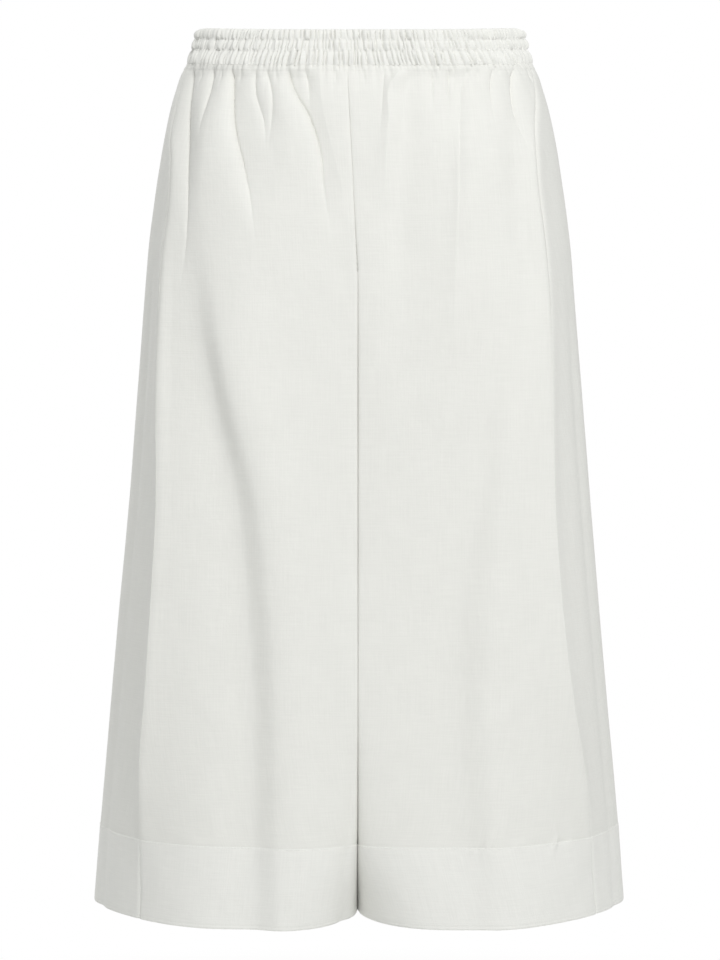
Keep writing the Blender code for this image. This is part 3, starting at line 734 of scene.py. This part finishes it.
def crowded(start, end, count, side, face, half, drop):
    """Places from start to end, closer together at the creases."""
    fine = np.linspace(start, end, CROWD_SAMPLES)
    points, _ = sampled(half, from_front(half, face, fine))
    across = shares_across(points, half.half_width)
    density = np.ones(CROWD_SAMPLES)
    for table, profile in FOLDS[face]:
        if profile is SWELL:
            continue
        for _, centre, strength, _ in folds_at(table, side, drop, across, fine):
            density += CROWDING * strength * np.exp(-np.abs(fine - centre) / CROWD_WIDTH)
    total = np.concatenate([[0], np.cumsum((density[1:] + density[:-1]) / 2)])
    return np.interp(np.linspace(0, total[-1], count), total, fine)


def columns_of(side, half, face, drop):
    """The distances, from the middle seam, of a panel's columns on one line."""
    side_seam = from_front(half, face, half.seam)
    near = np.array(EDGE_COLUMNS)
    strip = max(wall_of(half, face), LEAST_INNER_STRIP)
    inner = np.linspace(near[-1], strip, INNER_COLUMNS, endpoint=False)
    outer = crowded(strip, side_seam - near[-1], OUTER_COLUMNS[face], side, face, half, drop)
    return np.concatenate([near[:-1], inner, outer, side_seam - near[-2::-1]])


def panel_line(side, face, drop, seed):
    """One level line of a front or back: its points, its plan normals, how far its cloth is pushed
    out, its heights and how far past the inner wall each column lies.
    """
    half = half_at(side, drop)
    place = columns_of(side, half, face, drop)
    points, normals = sampled(half, from_front(half, face, place), edge=EDGE_COLUMNS[-1])
    across = shares_across(points, half.half_width)
    grain = place - wall_of(half, face)
    from_side = place[-1] - place
    folds = sum(fold_push(table, profile, side, drop, across, place) for table, profile in FOLDS[face])
    wave = line_noise(seed, grain / WAVE_ACROSS, drop / WAVE_DOWN)
    folds += WAVE_HEIGHT * smooth_step(drop / WAVE_FADE) * wave
    push = folds * smooth_step(np.minimum(grain, from_side) / EDGE_FADE)
    crumple = line_noise(seed + CRUMPLE_SEED_STEP, grain / CRUMPLE_ACROSS, drop / CRUMPLE_DOWN)
    push += CRUMPLE_HEIGHT * crumple * smooth_step(grain / EDGE_FADE)
    push += seam_push(side, half, face, drop, place)
    hem = hem_push(seed + HEM_SEED_STEP, drop, grain, from_side)
    push += hem * smooth_step(1 + grain / EDGE_FADE)
    if drop < SHORT_PUCKER + LONG_PUCKER:
        other = half_at(-side, drop)
        share = ring_share(side, face, half, other.length, place)
        push += pucker_push(share, drop, half.length + other.length)
    heights = height_of(points[:, 1], drop)
    return points, normals, push, heights, grain


def panel_grids(side, face, drops, walls, seed):
    """The outer and inner points of a panel or hem, its normals and its flat places, which are
    measured from the inner wall's edge on a panel and from the side seam on a hem.
    """
    outer, inner, normals, flat = [], [], [], []
    for drop, wall in zip(drops, walls):
        points, normal, push, heights, place = panel_line(side, face, drop, seed)
        for grid, depth in ((outer, (HEM_WALL - wall) / 2 if drop > HEM_TOP else 0), (inner, wall)):
            moved = points + (push - depth)[:, None] * normal
            grid.append(np.column_stack([side * moved[:, 0], moved[:, 1], heights]))
        normals.append(np.column_stack([side * normal[:, 0], normal[:, 1], 0 * heights]))
        if drops[0] == HEM_TOP:
            place = place - place[-1]
        flat.append(np.column_stack([place, np.full(len(place), -drop)]))
    return np.array(outer), np.array(inner), np.array(normals), np.array(flat)


# ---- meshes

def wall_mesh(name, outer, inner, flat, material, ring=False):
    """A closed wall of cloth between two grids of points, with its flat places as a UV map in
    metres. A ring's grids close on themselves, and its flat places have one more column.
    """
    rows, columns = outer.shape[:2]
    sheet = np.concatenate([outer, inner[::-1]])
    places = np.concatenate([flat, flat[::-1]])
    spans_across = columns if ring else columns - 1
    row, column = np.meshgrid(np.arange(2 * rows), np.arange(spans_across), indexing="ij")
    corners = [(0, 0), (1, 0), (1, 1), (0, 1)]
    faces = [((row + i) % (2 * rows)) * columns + (column + j) % columns for i, j in corners]
    faces = np.stack(faces, axis=-1).reshape(-1, 4)
    uvs = [places[(row + i) % (2 * rows), column + j] for i, j in corners]
    uvs = np.stack(uvs, axis=2).reshape(-1, 2)
    if not ring:
        level = np.arange(rows - 1)
        for edge, turned in ((0, True), (columns - 1, False)):
            numbers = [level, level + 1, 2 * rows - 2 - level, 2 * rows - 1 - level]
            strip = np.stack(numbers, axis=-1)
            strip = strip[:, ::-1] if turned else strip
            faces = np.concatenate([faces, strip * columns + edge])
            uvs = np.concatenate([uvs, places[strip.reshape(-1), edge]])
    points = sheet.reshape(-1, 3) * MM
    if signed_volume(points, faces) < 0:
        faces = faces[:, ::-1]
        uvs = uvs.reshape(-1, 4, 2)[:, ::-1].reshape(-1, 2)
    return cloth_object(name, points, faces, uvs * MM, material)


def signed_volume(points, faces):
    """Six times the volume inside a closed mesh of quads, below zero if its faces point inwards."""
    a, b, c, d = (points[faces[:, i]] for i in range(4))
    return np.einsum("ij,ij->", a, np.cross(b, c)) + np.einsum("ij,ij->", a, np.cross(c, d))


def placed(name, data):
    """A new object in the scene for a mesh, a light or a camera."""
    added = bpy.data.objects.new(name, data)
    bpy.context.scene.collection.objects.link(added)
    return added


def cloth_object(name, points, faces, uvs, material):
    """A smooth mesh of quads that rides on the part's one body."""
    mesh = bpy.data.meshes.new(name)
    mesh.from_pydata(points, [], faces.tolist())
    mesh.uv_layers.new(name="cloth").data.foreach_set("uv", np.ravel(uvs))
    mesh.shade_smooth()
    mesh.set_sharp_from_angle(angle=SHARP_ANGLE)
    mesh.materials.append(material)
    piece = placed(name, mesh)
    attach(piece, "root")
    return piece


def stitch_faces(count):
    """The faces of this many stitches: their sides, and two quads on each end."""
    n = STITCH_SIDES
    sides = [
        (n * k + i, n * k + (i + 1) % n, n * (k + 1) + (i + 1) % n, n * (k + 1) + i)
        for k in range(len(STITCH_RINGS) - 1) for i in range(n)
    ]
    starts = np.arange(count) * n * len(STITCH_RINGS)
    return (starts[:, None, None] + np.array(sides + STITCH_CAPS)).reshape(-1, 4)


def stitch_row(name, points, normals, material):
    """A row of stitches along a line of points in the cloth's surface."""
    place = distances(points)
    starts = np.arange(STITCH_PITCH / 2, place[-1] - STITCH_LENGTH, STITCH_PITCH)
    where = starts[:, None] + np.array(STITCH_RINGS) * STITCH_LENGTH
    centre = read_at(where, place, points)
    out = unit(read_at(where, place, normals))
    across = np.cross(unit(np.gradient(centre, axis=1)), out)
    radius = STITCH_RADIUS * np.array(STITCH_TAPER)[None, :, None]
    centre = centre + STITCH_LIFT * np.array(STITCH_HEIGHTS)[None, :, None] * out
    angles = np.arange(STITCH_SIDES) * 2 * math.pi / STITCH_SIDES
    rings = np.stack([
        centre + radius * (math.cos(angle) * out + math.sin(angle) * across) for angle in angles
    ], axis=2)
    faces = stitch_faces(len(starts))
    return cloth_object(name, rings.reshape(-1, 3) * MM, faces, np.zeros(faces.size * 2), material)


# ---- the pieces of cloth

def band_grid(share, down, relief):
    """Points round the band at each row's depth, moved out of its plain plan by the relief."""
    rows = []
    for level, push in zip(down, relief):
        drop = float(level - BAND_HEIGHT)
        left, right = half_at(LEFT, drop), half_at(RIGHT, drop)
        length = left.length + right.length
        place = share * length
        on_left = place <= left.length
        points = np.empty((len(share), 2))
        normals = np.empty((len(share), 2))
        for side, half, kept, places in (
            (LEFT, left, on_left, place),
            (RIGHT, right, ~on_left, length - place),
        ):
            plan, normal = sampled(half, places[kept], edge=EDGE_COLUMNS[-1])
            points[kept] = plan * (side, 1)
            normals[kept] = normal * (side, 1)
        from_corner = np.abs(points[:, 0]) - left.half_width + BAND_CORNER_WIDTH
        corner = BAND_CORNER_DROP * smooth_step(from_corner / BAND_CORNER_WIDTH)
        near_top = np.clip(1 - level / CHANNELS[0].bottom, 0, 1)
        heights = height_of(points[:, 1], drop) - corner * near_top**2
        moved = points + push[:, None] * normals
        rows.append(np.column_stack([moved, heights]))
    return np.array(rows)


def make_waistband(material, thread):
    """The gathered waistband and its two rows of stitches."""
    share = np.arange(BAND_COLUMNS) / BAND_COLUMNS
    rows = [np.linspace(c.top, c.bottom, BAND_ROWS_PER_CHANNEL, endpoint=False) for c in CHANNELS]
    down = np.concatenate([*rows, [BAND_HEIGHT]])
    length = half_at(LEFT, 0.0).length + half_at(RIGHT, 0.0).length
    wide_share, wide_down = np.meshgrid(share, down)
    relief = band_relief(wide_share, wide_down, length)
    inside = -BAND_WALL + BAND_INSIDE_SHARE * (relief + GATHER_HEIGHT / 2).clip(-1, 1)
    outer = band_grid(share, down, relief)
    inner = band_grid(share, down, inside)
    closed_share = np.append(share, 1.0)
    flat = np.stack(np.meshgrid(closed_share * length, -down), axis=-1)
    band = wall_mesh("cloth_waistband", outer, inner, flat, material, ring=True)
    stitches = []
    for number, channel in enumerate(CHANNELS[:-1], 1):
        row = int(np.argmin(np.abs(down - channel.bottom)))
        line = np.concatenate([outer[row], outer[row][:1]])
        beside = np.roll(outer[row], -1, axis=0) - np.roll(outer[row], 1, axis=0)
        normal = np.column_stack([beside[:, 1], -beside[:, 0], 0 * beside[:, 0]])
        normal = np.concatenate([normal, normal[:1]])
        stitches.append(stitch_row(f"stitches_band_{number}", line, normal, thread))
    return band, stitches


def make_panel(side, face, name, seed, material):
    """One front or back, from the waist seam down to the hem's top."""
    drops = spans(0.0, PANEL_SPANS)
    walls = np.full(len(drops), CLOTH_WALL)
    outer, inner, _, flat = panel_grids(side, face, drops, walls, seed)
    return wall_mesh(f"cloth_{name}", outer, inner, flat, material)


def make_hem(side, face, name, seed, material, thread):
    """The turned-up hem of one front or back, rounded at its fold, and its row of stitches."""
    drops = spans(HEM_TOP, HEM_SPANS)
    roundness = np.clip(1 - (LEG_LENGTH - drops) / (2 * HEM_EDGE_ROUND), 0, 1)
    walls = HEM_WALL - 2 * HEM_EDGE_ROUND * roundness**2
    outer, inner, normals, flat = panel_grids(side, face, drops, walls, seed)
    hem = wall_mesh(f"cloth_hem_{name}", outer, inner, flat, material)
    row = int(np.argmin(np.abs(drops - HEM_TOP - HEM_STITCH_DROP)))
    stitches = stitch_row(f"stitches_hem_{name}", outer[row], normals[row], thread)
    return hem, stitches


# ---- materials

CLOTH_COLOUR = (0.835, 0.832, 0.795)
# The hem's and waistband's doubled cloth is the panels' cloth painted paler. This painted light stands
# for a single layer losing light through to the dark inside.
DOUBLED_CLOTH_WITH_PAINTED_LIGHT = (0.86, 0.858, 0.825)
THREAD_COLOUR = (0.92, 0.915, 0.885)
WHITE = (1, 1, 1, 1)
CLOTH_ROUGHNESS = 0.92
CLOTH_SPECULAR = 0.25
SHEEN = 0.12
SHEEN_ROUGHNESS = 0.5
THREAD_ROUGHNESS = 0.7

# The weave: its pitch in metres, how far its threads wander in radians, and how many cells of each
# kind of unevenness there are in a metre, across and down
THREAD_PITCH = 0.00055
THREAD_WANDER = 2.6
WANDER_CELLS = (160, 160)
WEFT_CELLS = (45, 950)
WARP_CELLS = (950, 30)
MOTTLE_CELLS = (42, 30)
CRUMPLE_CELLS = (70, 46)
FINE = 3.0
STREAK_SHARE = 0.6
MOTTLE_SHARE = 0.4
TONE_START = 0.62
DARKER = 0.975
PALER = 1.02
TWIST_SCALE = 1400.0
TWIST_UNEVENNESS = 2.0
# How dark the thread is painted in its twist's grooves: painted shade
TWIST_GROOVE_PAINTED_SHADE = 0.93

# How strong a bump is, and how high in metres
Relief = namedtuple("Relief", "strength height")
WEAVE_RELIEF = Relief(0.35, 0.00022)
CRUMPLE_RELIEF = Relief(0.5, 0.0011)
TWIST_RELIEF = Relief(0.3, 0.00008)


class Nodes:
    """Adds nodes to a tree, each with its settings and what feeds its inputs."""

    def __init__(self, owner, shader="Principled BSDF"):
        owner.use_nodes = True
        self.tree = owner.node_tree
        self.shader = self.tree.nodes[shader]

    def add(self, kind, inputs=(), **settings):
        node = self.tree.nodes.new(kind)
        for name, value in settings.items():
            setattr(node, name, value)
        for key, value in dict(inputs).items():
            self.feed(node.inputs[key], value)
        return node

    def feed(self, socket, value):
        if isinstance(value, bpy.types.NodeSocket):
            self.tree.links.new(value, socket)
        else:
            socket.default_value = value

    def math(self, operation, *values):
        return self.add("ShaderNodeMath", enumerate(values), operation=operation).outputs[0]

    def noise(self, place, cells, detail=2.0):
        """Noise with this many cells in a metre, across and down."""
        mapped = self.add("ShaderNodeMapping", {"Vector": place, "Scale": (*cells, 1.0)})
        inputs = {"Vector": mapped.outputs["Vector"], "Scale": 1.0, "Detail": detail}
        return self.add("ShaderNodeTexNoise", inputs).outputs["Fac"]

    def bump(self, height, relief, **under):
        """The surface's normal, moved by a height. It can lie over another bump's normal."""
        inputs = {"Height": height, "Strength": relief.strength, "Distance": relief.height}
        return self.add("ShaderNodeBump", {**inputs, **under}).outputs["Normal"]

    def ramp(self, tone, start, dark, pale):
        """A colour that goes from dark to pale as the tone goes from the start to 1."""
        node = self.add("ShaderNodeValToRGB", {"Fac": tone})
        first, last = node.color_ramp.elements
        first.position = start
        first.color = (*dark, 1)
        last.color = (*pale, 1)
        return node.outputs["Color"]

    def finish(self, colour, normal, roughness):
        """What every cloth and thread sets on its shader."""
        self.feed(self.shader.inputs["Base Color"], colour)
        self.feed(self.shader.inputs["Normal"], normal)
        self.feed(self.shader.inputs["Roughness"], roughness)


def tinted(colour, share):
    return tuple(share * part for part in colour)


def woven(name, colour):
    """Plain-woven slub cloth: crossing threads, thicker streaks along both, and a little mottling."""
    material = bpy.data.materials.new(name)
    nodes = Nodes(material)
    cloth = nodes.add("ShaderNodeUVMap", uv_map="cloth").outputs["UV"]
    parts = nodes.add("ShaderNodeSeparateXYZ", {"Vector": cloth}).outputs
    wander = nodes.math("MULTIPLY", nodes.noise(cloth, WANDER_CELLS), THREAD_WANDER)
    threads = []
    for axis in (0, 1):
        phase = nodes.math("MULTIPLY_ADD", parts[axis], math.pi / THREAD_PITCH, wander)
        threads.append(nodes.math("SINE", phase))
    over = nodes.math("MULTIPLY_ADD", nodes.math("MULTIPLY", *threads), 0.5, 0.5)
    streaks = nodes.math("ADD", nodes.noise(cloth, WEFT_CELLS), nodes.noise(cloth, WARP_CELLS))
    weave = nodes.bump(nodes.math("MULTIPLY_ADD", over, 0.5, streaks), WEAVE_RELIEF)
    soft = nodes.bump(nodes.noise(cloth, CRUMPLE_CELLS, FINE), CRUMPLE_RELIEF, Normal=weave)
    mottle = nodes.math("MULTIPLY", nodes.noise(cloth, MOTTLE_CELLS, FINE), MOTTLE_SHARE)
    tone = nodes.math("ADD", nodes.math("MULTIPLY", streaks, STREAK_SHARE), mottle)
    shade = nodes.ramp(tone, TONE_START, tinted(colour, DARKER), tinted(colour, PALER))
    nodes.finish(shade, soft, CLOTH_ROUGHNESS)
    nodes.shader.inputs["Specular IOR Level"].default_value = CLOTH_SPECULAR
    nodes.shader.inputs["Sheen Weight"].default_value = SHEEN
    nodes.shader.inputs["Sheen Roughness"].default_value = SHEEN_ROUGHNESS
    return material


def sewing_thread(name):
    """Spun thread, with its twist as a fine bump, and painted shade that darkens it in the twist's
    grooves.
    """
    material = bpy.data.materials.new(name)
    nodes = Nodes(material)
    place = nodes.add("ShaderNodeTexCoord").outputs["Object"]
    inputs = {"Vector": place, "Scale": TWIST_SCALE, "Distortion": TWIST_UNEVENNESS}
    twist = nodes.add("ShaderNodeTexWave", inputs).outputs["Fac"]
    # Painted shade: the colour follows the twist's height, darker in its grooves
    shade = nodes.ramp(twist, 0.0, tinted(THREAD_COLOUR, TWIST_GROOVE_PAINTED_SHADE), THREAD_COLOUR)
    nodes.finish(shade, nodes.bump(twist, TWIST_RELIEF), THREAD_ROUGHNESS)
    return material


# ---- studio

FLOOR_Z = -1.05
FLOOR_RADIUS = 1.6
FLOOR_FADE = 0.9
FLOOR_RIM = 0.05
FLOOR_SIDES = 96
FLOOR_COLOUR = (0.86, 0.86, 0.85, 1)
FLOOR_ROUGHNESS = 0.85
AMBIENT_COLOUR = (0.985, 1.0, 0.99, 1)
AMBIENT_FROM = (0.5, 0.0, 0.866)
AMBIENT_AHEAD = 0.61
AMBIENT_BEHIND = 0.41
CAMERA_PLACE = (0.0004, -2.4, -0.376)
VIEW_HEIGHT = 0.8506
SENSOR = 36.0


def floor_paint_and_painted_glow():
    """Pale matt paint that fades towards the floor's rim into a white glow. The glow is painted light:
    the floor gives off light there, though it is no lamp, to meet the backdrop's white.
    """
    material = bpy.data.materials.new("floor_paint_and_painted_glow")
    nodes = Nodes(material)
    place = nodes.add("ShaderNodeTexCoord").outputs["Object"]
    flat = nodes.add("ShaderNodeVectorMath", {0: place, 1: (1, 1, 0)}, operation="MULTIPLY").outputs[0]
    reach = nodes.add("ShaderNodeVectorMath", {0: flat}, operation="LENGTH").outputs["Value"]
    fade = nodes.add(
        "ShaderNodeMapRange",
        {"Value": reach, "From Min": FLOOR_RADIUS - FLOOR_FADE, "From Max": FLOOR_RADIUS - FLOOR_RIM},
        interpolation_type="SMOOTHSTEP",
    ).outputs["Result"]
    nodes.shader.inputs["Base Color"].default_value = FLOOR_COLOUR
    nodes.shader.inputs["Roughness"].default_value = FLOOR_ROUGHNESS
    paint = nodes.shader.outputs["BSDF"]
    # Painted light: a white glow that the floor gives off towards its rim
    glow = nodes.add("ShaderNodeEmission", {"Color": WHITE, "Strength": 1.0}).outputs["Emission"]
    mix = nodes.add("ShaderNodeMixShader", {0: fade, 1: paint, 2: glow}).outputs["Shader"]
    nodes.feed(nodes.tree.nodes["Material Output"].inputs["Surface"], mix)
    return material


def make_floor():
    """A pale round floor, well under the hem."""
    angles = np.linspace(0, 2 * math.pi, FLOOR_SIDES, endpoint=False)
    rim = [(FLOOR_RADIUS * math.cos(a), FLOOR_RADIUS * math.sin(a), FLOOR_Z) for a in angles]
    mesh = bpy.data.meshes.new("floor")
    mesh.from_pydata(rim, [], [range(len(rim))])
    mesh.materials.append(floor_paint_and_painted_glow())
    placed("floor", mesh)


def make_world():
    """A white backdrop, and a softer light on the cloth that is brightest from above right."""
    world = bpy.data.worlds.new("studio")
    bpy.context.scene.world = world
    nodes = Nodes(world, "Background")
    place = nodes.add("ShaderNodeTexCoord").outputs["Generated"]
    towards = nodes.add("ShaderNodeVectorMath", {0: place, 1: AMBIENT_FROM}, operation="DOT_PRODUCT")
    inputs = {"Value": towards.outputs["Value"], "From Min": -1.0}
    inputs.update({"To Min": AMBIENT_BEHIND, "To Max": AMBIENT_AHEAD})
    strength = nodes.add("ShaderNodeMapRange", inputs).outputs["Result"]
    nodes.feed(nodes.shader.inputs["Strength"], strength)
    nodes.feed(nodes.shader.inputs["Color"], AMBIENT_COLOUR)
    ambient = nodes.shader.outputs[0]
    backdrop = nodes.add("ShaderNodeBackground", {"Color": WHITE}).outputs[0]
    seen = nodes.add("ShaderNodeLightPath").outputs["Is Camera Ray"]
    mix = nodes.add("ShaderNodeMixShader", {0: seen, 1: ambient, 2: backdrop}).outputs[0]
    nodes.feed(nodes.tree.nodes["World Output"].inputs["Surface"], mix)


Light = namedtuple("Light", "name place size power")
LIGHTS = (
    Light("key", (0.6, -2.3, 1.45), 1.3, 40.5),
    Light("back_key", (-1.6, 2.4, 1.0), 1.6, 28.0),
)
AIM = (0.0, 0.0, -0.36)


def make_lights():
    """A soft round key light in front, and one behind for the back."""
    for light in LIGHTS:
        lamp = bpy.data.lights.new(light.name, "AREA")
        lamp.shape = "DISK"
        lamp.size = light.size
        lamp.energy = light.power
        lamp_object = placed(light.name, lamp)
        lamp_object.location = light.place
        direction = Vector(AIM) - Vector(light.place)
        lamp_object.rotation_euler = direction.to_track_quat("-Z", "Y").to_euler()


def make_camera():
    """A level camera at the photo's angle."""
    camera = bpy.data.cameras.new("camera")
    camera.sensor_width = SENSOR
    camera.lens = SENSOR * abs(CAMERA_PLACE[1]) / VIEW_HEIGHT
    camera_object = placed("camera", camera)
    camera_object.location = CAMERA_PLACE
    camera_object.rotation_euler = (math.pi / 2, 0, 0)
    bpy.context.scene.camera = camera_object


# ---- what is made

# Flat sizes of what shows of each piece, in metres and square metres
Cut = namedtuple("Cut", "width length area")

panel_cloth = woven("panel_cloth", CLOTH_COLOUR)
# The hem and band take the paler colour with its painted light
hem_cloth = woven("hem_cloth", DOUBLED_CLOTH_WITH_PAINTED_LIGHT)
band_cloth = woven("band_cloth", DOUBLED_CLOTH_WITH_PAINTED_LIGHT)
thread = sewing_thread("sewing_thread")

waistband, band_stitches = make_waistband(band_cloth, thread)
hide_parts("waistband")

for number, (side, side_name) in enumerate(SIDES):
    for face, face_seed in PANEL_SEEDS.items():
        name = f"{face}_{side_name}"
        seed = face_seed + SIDE_SEED_STEP * number
        panel = make_panel(side, face, name, seed, panel_cloth)
        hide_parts(name)
        hem, hem_stitches = make_hem(side, face, name, seed, hem_cloth, thread)
        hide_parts(f"hem_{name}")

make_floor()
make_world()
make_lights()
make_camera()
bpy.context.scene.view_settings.view_transform = "Standard"
